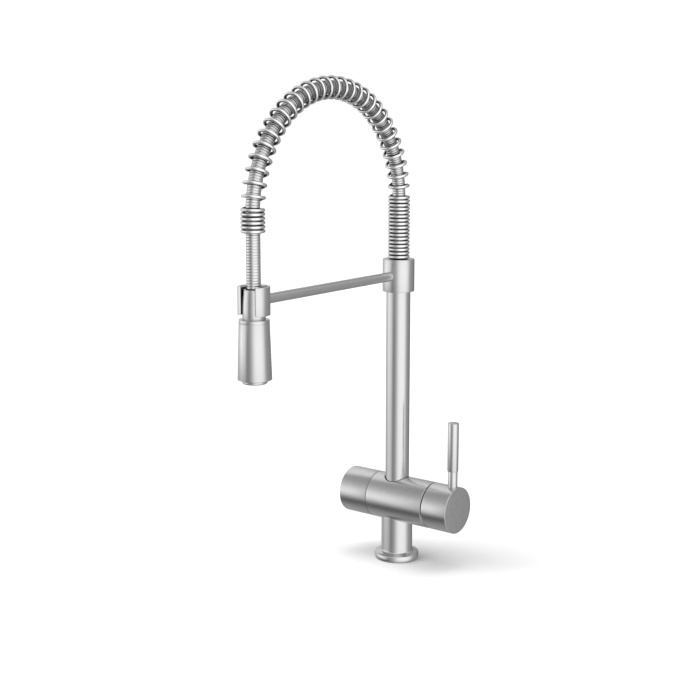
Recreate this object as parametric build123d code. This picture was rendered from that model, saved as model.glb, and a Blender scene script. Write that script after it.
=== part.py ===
from build123d import *
import math
import os

# A spring-neck kitchen mixer with a second tap for filtered water, in millimetres.
# +Z is up, -Y points at the person at the sink and +X at the mixer's cap and lever.
# The origin is the centre of the foot, on the deck.

# Fits and gaps shared by the whole faucet
running_fit = 0.05        # radial room of a shaft that turns in its bore
seat_fit = 0.03           # radial room of pieces that are pushed or screwed together
body_gap = 0.3            # least room between faces that move past each other
joint_line = 0.5          # the thin groove between the body and the knob
overcut = 1.0             # how far a cutting tool runs past the face that it opens

# Foot: flange, pedestal and inlet block
flange_radius = 23.5
flange_foot_radius = 22.7
flange_rim_radius = 22.8
flange_rim_height = 6.9
flange_top_rise = 0.7     # from the rim to the foot of the cove
flange_cove_radius = 2.4
flange_bead = 3.4         # height at which the rim is widest
gasket_inner = 18.4
gasket_width = 3.2
gasket_depth = 1.9
pedestal_radius = 16.55
pedestal_wall = 2.55
inlet_block_height = 34.0
port_tap_radius = 4.5     # tapping hole of an M10 x 1 hose port
port_tap_depth = 12.0
port_circle = 7.4
port_angles = {"filtered": 180, "hot": 60, "cold": -60}
channel_radius = 2.4
stud_tap_radius = 2.5     # tapping hole of an M6 stud
stud_tap_depth = 14.0
stud_circle = 9.6
stud_angles = (120, 240)
port_ring_wire = 0.9      # half the thickness of the O-rings between block and body

# Body: a drum that lies along X
body_radius = 24.3
body_axis = 65.8          # height of the drum's axis
body_knob_end = 24.0      # from the column's axis to the body's end at the knob
body_cap_end = 46.0       # from the column's axis to the body's end at the cap
drum_edge = 0.5           # small bevel on the drum's outer edges
channel_level = 51.6      # height of the channels under the spigot
inlet_level = 58.0        # height of the hot and cold ports in the cartridge
inlet_rise_x = 13.05      # where hot and cold water rise past the spigot
filter_bypass_y = 13.0    # filtered water runs back beside its tap at this distance
window_radius = 1.7       # of the filtered water's outlet

# Mixer cartridge, in the end towards +X
cartridge_radius = 17.5
cartridge_length = 17.0
cartridge_wall = 3.55
cartridge_base_height = 4.0
cartridge_lid = 2.0
cartridge_nose_radius = 13.5
cartridge_nose_end = 52.0
carrier_neck_radius = 9.45
disc_thickness = 2.4
disc_gap = 0.3
disc_port_radius = 2.0
disc_pocket_width = 9.0
disc_pocket_height = 13.0
disc_rest = -1.8          # how far the moving disc rests below the cartridge's axis
driver_thickness = 2.6    # plate behind the moving disc, which the stem's foot moves
driver_slot_room = 0.4
carrier_setback = 2.0     # the carrier's neck ends this far inside the nose
nut_radius = 19.4
nut_length = 8.5
nut_bore = 14.0
nut_slots = 6
nut_slot_width = 4.0
nut_slot_depth = 2.5
dome_radius = 22.9        # the round of the trim dome, centred on the lever's pivot
dome_length = 8.0
dome_skirt = 4.0
dome_bore = 14.4
stem_side = 7.0           # square stem that carries the cap
stem_pin_radius = 1.5
stem_pin_setback = 0.6    # from the pin's ends to the neck's skin
lift_max = 11.0           # degrees that the cap tilts out

# Cap and pin lever
cap_gap = 0.9             # the dark line between body and cap
cap_end = 77.1
cap_wall = 1.1
cap_floor = 60.0          # the cap is hollow up to here
stem_socket_end = 71.0
cap_screw_x = 64.5
cap_screw_radius = 2.5
cap_screw_length = 8.0
cap_socket_depth = 2.5
lever_x = 70.3
lever_stem_radius = 5.0
lever_grip_radius = 5.7
lever_foot_above_axis = 12.0
lever_step_height = 105.9
lever_top_height = 157.7
lever_tenon_radius = 3.5
lever_tenon_length = 14.0
lever_edge = 0.4

# Filtered-water tap, in the end towards -X
headwork_radius = 9.6
headwork_depth = 12.5
headwork_flange_radius = 12.5
headwork_flange = 4.0
headwork_neck_radius = 8.5
headwork_neck_end = 44.0
headwork_chamber = 7.2
headwork_end_wall = 0.8   # behind the inlet hole
headwork_ring_wire = 0.8
filter_disc_thickness = 1.3
filter_disc_shelf = 0.4   # from the inlet hole to the fixed disc
lapped_gap = 0.1          # between two lapped discs
spindle_radius = 4.0
spindle_end = 52.5
knob_length = 34.3
knob_wall = 2.3
knob_end_wall = 4.0
knob_hub_radius = 7.5
knob_hub_length = 9.0
knob_screw_radius = 2.0
knob_screw_length = 3.0

# Column foot: the spigot that turns in the body
column_radius = 12.5
column_wall = 1.6
column_seat = 76.0        # height of the seat cut in the body
column_seat_gap = 0.4     # dark crescent round the column's foot
glide_ring_height = 1.2
glide_ring_width = 2.6
spigot_radius = 9.55
spigot_bottom = 56.5
spigot_flange_height = 7.0
spigot_head_height = 15.5
spigot_groove_depth = 1.0
spigot_groove_width = 3.4
spigot_port_radius = 1.4  # of the holes from the grooves to the two waterways
mixed_level = 70.2        # height of the mixed water's groove
filtered_level = 61.6     # height of the filtered water's groove
ring_levels = (58.0, 65.7, 74.0)
spigot_ring_wire = 0.9
mixed_offset = 4.6        # the two waterways' distances from the column's axis
filtered_offset = 5.2
mixed_tube_radius = 4.0
filtered_tube_radius = 3.0
water_tube_wall = 0.9
tube_socket = 6.0
hold_screw_radius = 2.0
hold_screw_length = 6.2
screw_socket_depth = 2.0  # of the hexagon sockets, kept round here
hold_groove_depth = 1.2

# Column top: manifold, collar, arm and clip
reach = 224.35            # from the column's axis to the spray head's axis
arm_height = 304.4        # of the arm's middle line, which collar, clip and spray head follow
collar_radius = 16.35
collar_below_arm = 16.4
collar_above_arm = 17.6
collar_lid = 4.0
collar_edge = 0.4
manifold_setback = 2.0    # the manifold's lower end lies this far inside the collar
manifold_height = 18.0
manifold_boss_radius = 8.4
manifold_mixing_height = 5.0  # the two waterways meet this far above their sockets
hose_socket = 8.0
seat_flange_radius = 9.4
seat_radius = 7.8
seat_height = 8.0
arm_radius = 4.6
clip_radius = 15.0
clip_height = 26.3
clip_lip_radius = 11.4
clip_pocket_radius = 12.6
clip_mouth = 47.2         # half of the clip's opening, in degrees
clip_lip = 8.0            # degrees of bare metal at each end of the liner
liner_end_gap = 0.2       # in degrees, between the liner and that metal
arm_screw_radius = 2.0
arm_screw_head = 3.6
arm_screw_head_height = 1.3
arm_screw_reach = 14.3    # depth of the screw's hole behind its head's seat
collar_screw_radius = 2.0
collar_screw_sunk = 0.5   # the screw's end lies this far inside the collar
clip_rise = 0.6           # the clip's middle lies this far above the arm
clip_head_seat = 0.1      # from the pocket's wall to the screw's head

# Spring and hose
arch_height = 382.5       # height at which the arch springs from its two legs
wire_radius = 1.6
spring_radius = 9.85      # to the middle of the wire
stack_turns = 16          # turns that lie close above the collar
stack_pitch = 3.744
open_turns = 30
end_turns = 5             # turns that lie close at the spray's end
end_pitch = 3.7
end_overlap = 1.0         # the close turns begin this far before the arch ends
spring_foot_gap = 0.5     # from the collar to the spring's lowest turn
advance_share = 0.9       # share of a turn's advance that is taken at its far side
level_side = 37.5         # the turns lie square on this side, in degrees from -Y towards +X
arcs_per_turn = 4
hose_radius = 6.4
hose_rib_depth = 0.45
hose_bore = 4.0
hose_ribs = 200
rib_profile = ((0.0, 0.0), (0.2, 1.0), (0.62, 1.0), (0.82, 0.0))  # along the rib and up its flank, as shares
hose_split_drop = 7.5     # from the arch's foot to the part of the hose that is pulled out

# Spray head, on the axis at y = -reach
head_below_arm = 16.6     # from the arm's middle line to the head's top
neck_radius = 10.9
neck_length = 28.5
neck_edge = 0.3
neck_bore = 7.5
neck_seat_rise = 9.2      # from the head's top to the washer's seat in the neck
neck_thread_radius = 9.0
neck_thread_length = 13.8
neck_water_bore = 5.0
washer_height = 1.6
washer_gap = 0.1          # between the washer and the ferrule, which turns on it
ferrule_sunk = 2.8        # from the neck's top to the ferrule's top
ferrule_cup = 8.5
valve_radius = 4.9
valve_height = 12.0
valve_bore = 3.4
valve_below_seat = 2.0
seam_ring_height = 3.3
seam_edge = 0.25
head_length = 55.6
head_top_radius = 14.2
head_bottom_radius = 15.95
head_wall = 1.9
head_edge = 0.4
head_roof = 9.0           # thickness of the shell's threaded top
face_radius = 11.8
face_depth = 3.2          # the face stands out below the shell
face_flange = 2.4
face_wall = 1.4
face_edge = 1.0
nozzle_recess = 0.5
spreader_width = 2.5
nozzle_plate_height = 2.2
nozzle_radius = 0.7
nozzle_counts = (1, 6, 12, 16)
nozzle_ring_radii = (0.0, 3.2, 6.4, 9.2)

# Heights that follow the arm's
collar_bottom = arm_height - collar_below_arm
collar_top = arm_height + collar_above_arm
column_top = collar_top - collar_lid
manifold_bottom = collar_bottom + manifold_setback
head_top = arm_height - head_below_arm
head_bottom = head_top - head_length
face_bottom = head_bottom - face_depth
neck_top = head_top + neck_length
neck_seat = head_top + neck_seat_rise
neck_thread_bottom = head_top - neck_thread_length
ferrule_top = neck_top - ferrule_sunk

UP = (Align.CENTER, Align.CENTER, Align.MIN)


def upright(radius, low, high, x=0.0, y=0.0):
    """Round bar that stands between two heights."""
    return Pos(x, y, low) * Cylinder(radius, high - low, align=UP)


def upright_tube(outer, inner, low, high, x=0.0, y=0.0):
    """Tube that stands between two heights."""
    return upright(outer, low, high, x, y) - upright(inner, low, high, x, y)


def along_x(radius, start, end, y=0.0, z=body_axis):
    """Round bar along X."""
    return Pos(min(start, end), y, z) * Rot(0, 90, 0) * Cylinder(radius, abs(end - start), align=UP)


def tube_x(outer, inner, start, end, y=0.0, z=body_axis):
    """Tube along X."""
    return along_x(outer, start, end, y, z) - along_x(inner, start, end, y, z)


def along_y(radius, start, end, x=0.0, z=0.0):
    """Round bar along Y."""
    return Pos(x, min(start, end), z) * Rot(-90, 0, 0) * Cylinder(radius, abs(end - start), align=UP)


def ring(radius, wire, place):
    """O-ring whose middle line has the given radius."""
    return place * Torus(radius, wire)


def x_block(start, end, width, height):
    """Block along X, centred on the body's axis."""
    return Pos((start + end) / 2, 0, body_axis) * Box(end - start, width, height)


def on_circle(radius, degrees):
    """Plan place on a circle round the column's axis."""
    angle = math.radians(degrees)
    return radius * math.cos(angle), radius * math.sin(angle)


def bevel_ends(solid, axis, size):
    """Bevel the outer edges at both ends of a round piece."""
    faces = solid.faces().sort_by(axis)
    edges = [face.outer_wire().edges() for face in (faces[0], faces[-1])]
    return chamfer([edge for group in edges for edge in group], size)


# Foot

def base_flange():
    bore = pedestal_radius + seat_fit
    cove_foot = flange_rim_height + flange_top_rise
    with BuildPart() as part:
        with BuildSketch(Plane.XZ):
            with BuildLine():
                Line((bore, 0), (flange_foot_radius, 0))
                ThreePointArc((flange_foot_radius, 0), (flange_radius, flange_bead),
                              (flange_rim_radius, flange_rim_height))
                Line((flange_rim_radius, flange_rim_height), (bore + flange_cove_radius, cove_foot))
                RadiusArc((bore + flange_cove_radius, cove_foot),
                          (bore, cove_foot + flange_cove_radius), flange_cove_radius)
                Line((bore, cove_foot + flange_cove_radius), (bore, 0))
            make_face()
        revolve(axis=Axis.Z)
    groove = upright_tube(gasket_inner + gasket_width + seat_fit, gasket_inner - seat_fit, 0, gasket_depth)
    return part.part - groove


def flange_gasket():
    return upright_tube(gasket_inner + gasket_width, gasket_inner, 0, gasket_depth)


def pedestal():
    tube = upright_tube(pedestal_radius, pedestal_radius - pedestal_wall, 0, body_axis)
    return tube - along_x(body_radius + seat_fit, -body_knob_end, body_cap_end)


def inlet_block():
    block = upright(pedestal_radius - pedestal_wall - seat_fit, 0, inlet_block_height)
    for degrees in port_angles.values():
        x, y = on_circle(port_circle, degrees)
        block -= upright(port_tap_radius, 0, port_tap_depth, x, y)
        block -= upright(channel_radius, 0, inlet_block_height, x, y)
        pocket = channel_radius + 2 * port_ring_wire
        block -= upright(pocket + seat_fit, inlet_block_height - 2 * port_ring_wire, inlet_block_height, x, y)
    for degrees in stud_angles:
        x, y = on_circle(stud_circle, degrees)
        block -= upright(stud_tap_radius, 0, stud_tap_depth, x, y)
    return block


def port_rings():
    height = inlet_block_height - port_ring_wire
    places = [on_circle(port_circle, degrees) for degrees in port_angles.values()]
    return [ring(channel_radius + port_ring_wire, port_ring_wire, Pos(x, y, height)) for x, y in places]


# Body

cartridge_back = body_cap_end - dome_skirt - nut_length - cartridge_length
headwork_back = -body_knob_end + headwork_depth
filter_inlet_x = headwork_back - headwork_end_wall - channel_radius
fixed_disc_x = filter_inlet_x - channel_radius - filter_disc_shelf
turning_disc_x = fixed_disc_x - filter_disc_thickness - lapped_gap
filter_outlet_x = turning_disc_x - filter_disc_thickness - window_radius
headwork_ring_x = (filter_inlet_x - channel_radius + filter_outlet_x + window_radius) / 2


def valve_body():
    body = bevel_ends(along_x(body_radius, -body_knob_end, body_cap_end), Axis.X, drum_edge)
    body += upright(pedestal_radius - pedestal_wall - seat_fit, inlet_block_height, body_axis)
    # The cartridge's bore, with the wider thread for the nut and the dome
    body -= along_x(cartridge_radius + seat_fit, cartridge_back, body_cap_end)
    body -= along_x(nut_radius + seat_fit, body_cap_end - dome_skirt - nut_length, body_cap_end)
    # The filtered tap's bore
    body -= along_x(headwork_radius + seat_fit, -body_knob_end, headwork_back)
    # The column's seat and the spigot's bore
    body -= upright(column_radius + column_seat_gap, column_seat, body_axis + body_radius + overcut)
    body -= upright(spigot_radius + running_fit, spigot_bottom - body_gap, column_seat)
    # Hot and cold water to the cartridge, under the spigot and up beside it
    for name in ("hot", "cold"):
        x, y = on_circle(port_circle, port_angles[name])
        body -= upright(channel_radius, inlet_block_height, channel_level, x, y)
        body -= along_x(channel_radius, x, inlet_rise_x, y, channel_level)
        body -= upright(channel_radius, channel_level, inlet_level, inlet_rise_x, y)
        body -= along_x(channel_radius, inlet_rise_x, cartridge_back, y, inlet_level)
    # Filtered water to the inner end of its tap
    x, y = on_circle(port_circle, port_angles["filtered"])
    body -= upright(channel_radius, inlet_block_height, channel_level, x, y)
    body -= along_x(channel_radius, x, filter_inlet_x, y, channel_level)
    body -= upright(channel_radius, channel_level, body_axis - headwork_radius / 2, filter_inlet_x, y)
    # Mixed and filtered water back to the spigot
    body -= along_x(channel_radius, 0, cartridge_back, 0, mixed_level)
    body -= along_y(window_radius, 0, filter_bypass_y, filter_outlet_x, filtered_level)
    body -= along_x(window_radius, filter_outlet_x, 0, filter_bypass_y, filtered_level)
    body -= along_y(window_radius, 0, filter_bypass_y, 0, filtered_level)
    # The screw that keeps the column down
    body -= along_y(hold_screw_radius + seat_fit, 0, body_radius, 0, hold_level)
    return body


flange_low = column_seat + glide_ring_height + body_gap
hold_level = flange_low + spigot_flange_height / 2
column_bottom = flange_low + spigot_flange_height


def glide_ring():
    inner = spigot_radius + running_fit
    return upright_tube(inner + glide_ring_width, inner, column_seat, column_seat + glide_ring_height)


def spout_screw():
    start = column_radius - hold_groove_depth + body_gap
    end = start + hold_screw_length
    screw = along_y(hold_screw_radius, start, end, 0, hold_level)
    return screw - along_y(hold_screw_radius / 2, end - screw_socket_depth, end, 0, hold_level)


# Mixer cartridge

cartridge_front = cartridge_back + cartridge_length
chamber_radius = cartridge_radius - cartridge_wall
chamber_start = cartridge_back + cartridge_base_height
chamber_end = cartridge_front - cartridge_lid
disc_start = chamber_start + disc_thickness + disc_gap
driver_start = disc_start + disc_thickness
carrier_start = driver_start + driver_thickness + disc_gap
stem_foot = driver_start + 2 * body_gap
pivot_x = body_cap_end    # the cap tilts about a line in the plane of the body's end


def cartridge_ports():
    """Places, in Y and Z, of the two inlets and the outlet in the cartridge's base."""
    y = on_circle(port_circle, port_angles["hot"])[1]
    return ((y, inlet_level), (-y, inlet_level), (0, mixed_level))


def cartridge_base():
    base = along_x(cartridge_radius, cartridge_back, chamber_start)
    for y, z in cartridge_ports():
        base -= along_x(channel_radius, cartridge_back, chamber_start, y, z)
        base -= along_x(channel_radius + 2 * port_ring_wire + seat_fit, cartridge_back,
                        cartridge_back + 2 * port_ring_wire, y, z)
    return base


def cartridge_body():
    case = along_x(cartridge_radius, chamber_start, cartridge_front)
    case += along_x(cartridge_nose_radius, cartridge_front, cartridge_nose_end)
    case -= along_x(chamber_radius, chamber_start, chamber_end)
    return case - along_x(carrier_neck_radius + running_fit, chamber_end, cartridge_nose_end)


def cartridge_seals():
    x = cartridge_back + port_ring_wire
    return [ring(channel_radius + port_ring_wire, port_ring_wire, Pos(x, y, z) * Rot(0, 90, 0))
            for y, z in cartridge_ports()]


def mixer_fixed_disc():
    disc = along_x(chamber_radius - seat_fit, chamber_start, chamber_start + disc_thickness)
    for y, z in cartridge_ports():
        disc -= along_x(disc_port_radius, chamber_start, chamber_start + disc_thickness, y, z)
    return disc


def lift_travel():
    """How far the stem's foot lifts the moving disc when the cap is tilted right out."""
    return (pivot_x - driver_start - driver_thickness / 2) * math.radians(lift_max)


def moving_disc_radius():
    """The disc and its plate stay clear of the chamber at both ends of their travel."""
    return chamber_radius - body_gap - max(-disc_rest, lift_travel() + disc_rest)


def mixer_moving_disc():
    z = body_axis + disc_rest
    disc = along_x(moving_disc_radius(), disc_start, driver_start, 0, z)
    return disc - Pos(disc_start, 0, z) * Box(disc_thickness, disc_pocket_width, disc_pocket_height)


def disc_driver():
    end = driver_start + driver_thickness
    plate = along_x(moving_disc_radius(), driver_start, end, 0, body_axis + disc_rest)
    return plate - x_block(driver_start, end, stem_side + 2 * body_gap, stem_side + 2 * driver_slot_room)


def cartridge_carrier():
    carrier = along_x(chamber_radius - running_fit, carrier_start, chamber_end - body_gap)
    carrier += along_x(carrier_neck_radius, chamber_end - body_gap, cartridge_nose_end - carrier_setback)
    carrier -= x_block(carrier_start, cartridge_nose_end, stem_side + 2 * body_gap,
                       stem_side + 2 * (lift_travel() + body_gap))
    return carrier - along_y(stem_pin_radius + seat_fit, -carrier_neck_radius, carrier_neck_radius,
                             pivot_x, body_axis)


def stem_pin():
    half = carrier_neck_radius - stem_pin_setback
    return along_y(stem_pin_radius, -half, half, pivot_x, body_axis)


def cartridge_stem():
    stem = x_block(stem_foot, stem_socket_end - body_gap, stem_side, stem_side)
    return stem - along_y(stem_pin_radius + running_fit, -stem_side, stem_side, pivot_x, body_axis)


def cartridge_nut():
    start = cartridge_front
    nut = tube_x(nut_radius, nut_bore, start, start + nut_length)
    for turn in range(nut_slots):
        spoke = Pos(start + nut_length, 0, body_axis) * Rot(turn * 360 / nut_slots, 0, 0)
        nut -= spoke * Pos(0, 0, nut_radius) * Box(2 * nut_slot_depth, nut_slot_width, 2 * nut_slot_depth)
    return nut


def trim_dome():
    dome = Pos(pivot_x, 0, body_axis) * Sphere(dome_radius)
    past = dome_radius + overcut
    dome -= along_x(past, body_cap_end - past, body_cap_end)
    dome -= along_x(past, body_cap_end + dome_length, body_cap_end + past)
    dome += along_x(nut_radius, body_cap_end - dome_skirt, body_cap_end)
    return dome - along_x(dome_bore, body_cap_end - dome_skirt, body_cap_end + dome_length)


# Cap and lever

def cap_rim():
    """The space in front of the cap's rear rim, cut back on a slant below the axis."""
    start = pivot_x + cap_gap
    tilt = math.radians(lift_max)
    low_rim = pivot_x + (body_gap + body_radius * math.sin(tilt)) / math.cos(tilt)
    slope = (low_rim - start) / body_radius
    past = body_radius + overcut
    back = pivot_x - overcut
    outline = Polyline((back, 0, body_axis + past), (start, 0, body_axis + past), (start, 0, body_axis),
                       (start + slope * past, 0, body_axis - past), (back, 0, body_axis - past), close=True)
    return extrude(make_face(outline), amount=past, both=True)


def mixer_cap():
    cap = bevel_ends(along_x(body_radius, pivot_x, cap_end), Axis.X, drum_edge)
    cap -= cap_rim()
    cap -= along_x(body_radius - cap_wall, pivot_x, cap_floor)
    socket_side = stem_side + 2 * seat_fit
    cap -= x_block(cap_floor, stem_socket_end, socket_side, socket_side)
    cap -= upright(lever_stem_radius + seat_fit, body_axis + lever_foot_above_axis,
                   body_axis + body_radius + overcut, lever_x)
    return cap - upright(cap_screw_radius + seat_fit, body_axis - body_radius, body_axis, cap_screw_x)


def cap_screw():
    top = body_axis - stem_side / 2 - seat_fit
    low = top - cap_screw_length
    screw = upright(cap_screw_radius, low, top, cap_screw_x)
    return screw - upright(cap_screw_radius / 2, low, low + cap_socket_depth, cap_screw_x)


def lever_stem():
    foot = body_axis + lever_foot_above_axis
    stem = upright(lever_stem_radius, foot, lever_step_height, lever_x)
    tenon_top = lever_step_height + lever_tenon_length
    return stem + upright(lever_tenon_radius, lever_step_height, tenon_top, lever_x)


def lever_grip():
    grip = upright(lever_grip_radius, lever_step_height, lever_top_height, lever_x)
    grip = bevel_ends(grip, Axis.Z, lever_edge)
    tenon_top = lever_step_height + lever_tenon_length
    return grip - upright(lever_tenon_radius + seat_fit, lever_step_height, tenon_top, lever_x)


# Filtered-water tap

knob_start = -body_knob_end - joint_line
knob_end = knob_start - knob_length
knob_floor = knob_end + knob_end_wall
knob_screw_x = knob_floor + knob_hub_length / 2
flange_out = -body_knob_end - headwork_flange


def headwork_body():
    head = along_x(headwork_radius, headwork_back, -body_knob_end)
    head += along_x(headwork_flange_radius, -body_knob_end, flange_out)
    head += along_x(headwork_neck_radius, flange_out, -headwork_neck_end)
    head -= along_x(headwork_chamber, headwork_back, -body_knob_end)
    head -= along_x(spindle_radius + running_fit, -body_knob_end, -headwork_neck_end)
    head -= upright(channel_radius, body_axis - headwork_radius - overcut, body_axis, filter_inlet_x)
    head -= along_y(window_radius, 0, headwork_radius + overcut, filter_outlet_x, filtered_level)
    groove = tube_x(headwork_radius + overcut, headwork_radius - 2 * headwork_ring_wire,
                    headwork_ring_x - headwork_ring_wire, headwork_ring_x + headwork_ring_wire)
    return head - groove


def headwork_ring():
    place = Pos(headwork_ring_x, 0, body_axis) * Rot(0, 90, 0)
    return ring(headwork_radius - headwork_ring_wire, headwork_ring_wire - seat_fit, place)


def disc_window(start):
    """Opening on one side of a ceramic disc."""
    window = Box(2 * filter_disc_thickness, headwork_chamber / 2, headwork_chamber)
    return Pos(start, headwork_chamber / 2, body_axis) * window


def filter_fixed_disc():
    disc = along_x(headwork_chamber - seat_fit, fixed_disc_x, fixed_disc_x - filter_disc_thickness)
    return disc - disc_window(fixed_disc_x)


def filter_turning_disc():
    disc = along_x(headwork_chamber - body_gap, turning_disc_x, turning_disc_x - filter_disc_thickness)
    return disc - disc_window(turning_disc_x)


def filter_spindle():
    return along_x(spindle_radius, turning_disc_x - filter_disc_thickness, -spindle_end)


def filter_knob():
    knob = bevel_ends(along_x(body_radius, knob_start, knob_end), Axis.X, drum_edge)
    knob -= along_x(body_radius - knob_wall, knob_start, knob_floor)
    knob += along_x(knob_hub_radius, knob_floor + knob_hub_length, knob_floor)
    knob -= along_x(spindle_radius + seat_fit, knob_floor + knob_hub_length, -spindle_end)
    return knob - upright(knob_screw_radius + seat_fit, body_axis - body_radius, body_axis, knob_screw_x)


def knob_screw():
    top = body_axis - spindle_radius - seat_fit
    return upright(knob_screw_radius, top - knob_screw_length, top, knob_screw_x)


# Column

spigot_top = column_bottom + spigot_head_height
column_bore = column_radius - column_wall


def swivel_spigot():
    spigot = upright(spigot_radius, spigot_bottom, flange_low)
    spigot += upright(column_radius, flange_low, column_bottom)
    spigot += upright(column_bore - seat_fit, column_bottom, spigot_top)
    # Groove for the screw that keeps the column down
    groove_half = hold_screw_radius + body_gap
    spigot -= upright_tube(column_radius + overcut, column_radius - hold_groove_depth,
                           hold_level - groove_half, hold_level + groove_half)
    for level in (mixed_level, filtered_level):
        spigot -= upright_tube(spigot_radius + overcut, spigot_radius - spigot_groove_depth,
                               level - spigot_groove_width / 2, level + spigot_groove_width / 2)
    for level in ring_levels:
        spigot -= upright_tube(spigot_radius + overcut, spigot_radius - 2 * spigot_ring_wire,
                               level - spigot_ring_wire, level + spigot_ring_wire)
    # The two waterways, with a socket for each tube
    for x, tube, level, side in waterways():
        spigot -= upright(tube - water_tube_wall, level, spigot_top, x)
        spigot -= upright(tube + seat_fit, spigot_top - tube_socket, spigot_top, x)
        spigot -= along_x(spigot_port_radius, x, side * spigot_radius, 0, level)
    return spigot


def waterways():
    """Place, tube radius, groove level and side of the mixed and the filtered water."""
    return ((mixed_offset, mixed_tube_radius, mixed_level, 1),
            (-filtered_offset, filtered_tube_radius, filtered_level, -1))


def spigot_rings():
    middle = spigot_radius - spigot_ring_wire
    return [ring(middle, spigot_ring_wire - seat_fit, Pos(0, 0, level)) for level in ring_levels]


def column_tube():
    return upright_tube(column_radius, column_bore, column_bottom, column_top)


def water_tube(index):
    x, radius = waterways()[index][:2]
    inner = radius - water_tube_wall
    return upright_tube(radius, inner, spigot_top - tube_socket, manifold_bottom + tube_socket, x)


manifold_top = manifold_bottom + manifold_height


def hose_manifold():
    block = upright(column_bore - seat_fit, manifold_bottom, manifold_top)
    block += upright(manifold_boss_radius, manifold_top, manifold_top + hose_socket)
    block -= upright(hose_radius + seat_fit, manifold_top, manifold_top + hose_socket)
    meeting = manifold_bottom + tube_socket + manifold_mixing_height
    for x, radius in [way[:2] for way in waterways()]:
        block -= upright(radius + seat_fit, manifold_bottom, manifold_bottom + tube_socket, x)
        block -= upright(radius - water_tube_wall, manifold_bottom, meeting, x)
        block -= along_x(channel_radius, x, 0, 0, meeting)
    return block - upright(hose_bore, meeting - channel_radius, manifold_top)


def collar():
    sleeve = bevel_ends(upright(collar_radius, collar_bottom, collar_top), Axis.Z, collar_edge)
    sleeve -= upright(column_radius + seat_fit, collar_bottom, collar_top - collar_lid)
    sleeve -= upright(seat_flange_radius + seat_fit, collar_top - collar_lid, collar_top)
    sleeve -= along_y(collar_screw_radius + seat_fit, 0, collar_radius, 0, arm_height)
    # The arm's screw goes in from the bore, with its head sunk in the wall
    sleeve -= along_y(arm_screw_radius + seat_fit, 0, -collar_radius, 0, arm_height)
    head_end = -(column_radius + seat_fit + arm_screw_head_height)
    return sleeve - along_y(arm_screw_head + seat_fit, 0, head_end, 0, arm_height)


def collar_screw():
    start = column_radius + 2 * seat_fit
    return along_y(collar_screw_radius, start, collar_radius - collar_screw_sunk, 0, arm_height)


def spring_seat():
    seat = upright(seat_flange_radius, collar_top - collar_lid, collar_top)
    seat += upright(seat_radius, collar_top, collar_top + seat_height)
    return seat - upright(hose_radius + seat_fit, collar_top - collar_lid, collar_top + seat_height)


def support_arm():
    arm = along_y(arm_radius, -column_radius, -reach, 0, arm_height)
    low, high = arm_height - arm_radius - overcut, arm_height + arm_radius + overcut
    arm -= upright(collar_radius + seat_fit, low, high)
    arm -= upright(clip_radius + seat_fit, low, high, 0, -reach)
    for seat, side in arm_screw_seats():
        arm -= along_y(arm_screw_radius + seat_fit, seat, seat + side * arm_screw_reach, 0, arm_height)
    return arm


def arm_screw_seats():
    """Where the head of each screw sits, in Y, and which way it points."""
    return (-column_radius - seat_fit, -1), (clip_pocket_radius + clip_head_seat - reach, 1)


def arm_screws():
    screws = []
    for seat, side in arm_screw_seats():
        head = along_y(arm_screw_head, seat, seat + side * arm_screw_head_height, 0, arm_height)
        shank_end = seat + side * (arm_screw_reach - overcut)
        screws.append(head + along_y(arm_screw_radius, seat, shank_end, 0, arm_height))
    return screws


def mouth(half_angle, radius, low, high):
    """Wedge that opens the clip towards -Y, from the spray's axis."""
    tip = Vector(0, -reach, low)
    sides = [Vector(radius * math.sin(a), -reach - radius * math.cos(a), low)
             for a in (math.radians(-half_angle), math.radians(half_angle))]
    front = Vector(0, -reach - 2 * radius, low)
    return extrude(make_face(Polyline(tip, sides[0], front, sides[1], close=True)), amount=high - low)


clip_bottom = arm_height + clip_rise - clip_height / 2
clip_top = clip_bottom + clip_height


def holder_clip():
    shell = upright_tube(clip_radius, clip_lip_radius, clip_bottom, clip_top, 0, -reach)
    pocket = upright_tube(clip_pocket_radius, neck_radius, clip_bottom, clip_top, 0, -reach)
    pocket -= mouth(clip_mouth + clip_lip, 2 * clip_radius, clip_bottom, clip_top)
    shell -= pocket
    shell -= mouth(clip_mouth, 2 * clip_radius, clip_bottom, clip_top)
    wall_in = neck_radius - reach
    seat = arm_screw_seats()[1][0]
    shell -= along_y(arm_screw_radius + seat_fit, wall_in, seat + arm_screw_reach, 0, arm_height)
    return shell - along_y(arm_screw_head + seat_fit, wall_in, seat + arm_screw_head_height, 0, arm_height)


def clip_liner():
    inner = neck_radius + body_gap
    liner = upright_tube(clip_pocket_radius - seat_fit, inner, clip_bottom, clip_top, 0, -reach)
    return liner - mouth(clip_mouth + clip_lip + liner_end_gap, 2 * clip_radius, clip_bottom, clip_top)


# Spring and hose

arch_radius = reach / 2
arch_length = math.pi * arch_radius


def on_route(distance):
    """Point, direction and outward normal of the line that hose and spring follow.

    The distance is measured from the arch's start above the column."""
    if distance <= 0:
        return Vector(0, 0, arch_height + distance), Vector(0, 0, 1), Vector(0, 1, 0)
    if distance >= arch_length:
        height = arch_height - (distance - arch_length)
        return Vector(0, -reach, height), Vector(0, 0, -1), Vector(0, -1, 0)
    turn = distance / arch_radius
    outward = Vector(0, math.cos(turn), math.sin(turn))
    centre = Vector(0, -arch_radius, arch_height)
    return centre + outward * arch_radius, Vector(0, -math.sin(turn), math.cos(turn)), outward


spring_start = collar_top + wire_radius + spring_foot_gap - arch_height
stack_end = spring_start + stack_turns * stack_pitch
end_start = arch_length - end_overlap
open_pitch = (end_start - stack_end) / open_turns
all_turns = stack_turns + open_turns + end_turns


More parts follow.
